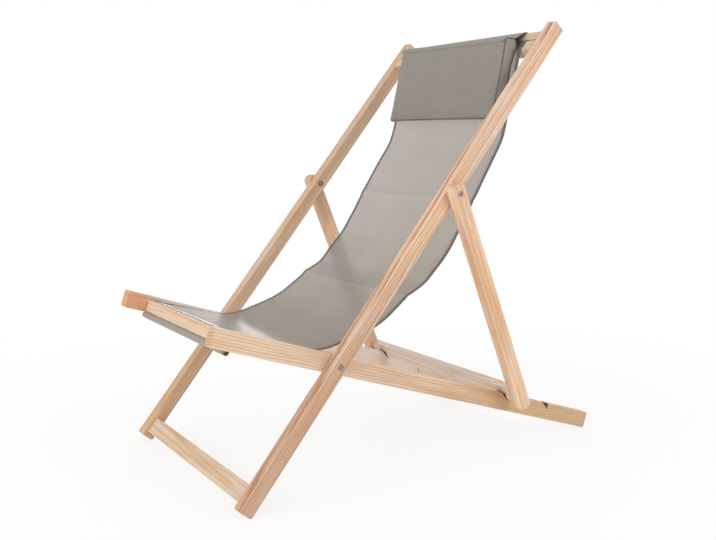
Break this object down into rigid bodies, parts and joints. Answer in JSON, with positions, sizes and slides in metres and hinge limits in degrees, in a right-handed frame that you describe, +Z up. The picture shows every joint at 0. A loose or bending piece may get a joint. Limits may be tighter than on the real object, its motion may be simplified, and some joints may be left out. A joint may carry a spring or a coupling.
{
  "type": "reclining chair",
  "caption": "Folding timber deck chair with a hanging fabric sling, a padded head pillow and a notched prop that sets the recline.",
  "frame": {"origin": "on the floor, under the middle of the chair's outline", "axes": "+Z up, X across the chair with the sitter's left at +X, and the sitter faces -Y; pose is the pictured one, the prop in the foremost notch"},
  "size_m": [0.58, 0.9274, 0.8981],
  "materials": {
    "frame_wood": "pale oiled softwood, planed",
    "dowel_wood": "plain turned",
    "zinc_steel": "zinc plated",
    "sling_cloth": "woven canvas, matt",
    "pillow_cloth": "woven canvas, matt"
  },
  "bodies": {
    "back_frame": {"back_rail_left": "frame_wood", "back_rail_right": "frame_wood", "foot_bar": "frame_wood", "top_bar_lower": "frame_wood", "top_bar_upper": "frame_wood", "back_frame_dowels": "dowel_wood", "seat_pivot_bolts": "zinc_steel", "seat_pivot_nuts": "zinc_steel", "seat_pivot_washers": "zinc_steel", "prop_pivot_bolts": "zinc_steel", "prop_pivot_nuts": "zinc_steel", "prop_pivot_washers": "zinc_steel", "sling": "sling_cloth", "sling_head_dowel": "dowel_wood", "head_pillow": "pillow_cloth", "pillow_flap": "pillow_cloth"},
    "seat_frame": {"seat_rail_left": "frame_wood", "seat_rail_right": "frame_wood", "front_bar": "frame_wood", "slot_bar": "frame_wood", "rear_bar": "frame_wood", "seat_frame_dowels": "dowel_wood", "sling_front_dowel": "dowel_wood"},
    "prop_frame": {"prop_leg_left": "frame_wood", "prop_leg_right": "frame_wood", "prop_bar": "frame_wood", "prop_frame_dowels": "dowel_wood"}
  },
  "joints": [
    {"name": "back_fold", "type": "hinge", "parent": "back_frame", "child": "seat_frame", "pos_m": [0, -0.21859, 0.24686], "axis": [1, 0, 0], "range_deg": [0, 69], "deforming": ["sling"]},
    {"name": "prop_swing", "type": "hinge", "parent": "back_frame", "child": "prop_frame", "pos_m": [0, 0.03972, 0.55619], "axis": [1, 0, 0], "range_deg": [0, 118.43]}
  ],
  "couplings": [
    {"joint": "prop_swing", "follows": "back_fold", "ratio": 1.7156}
  ]
}
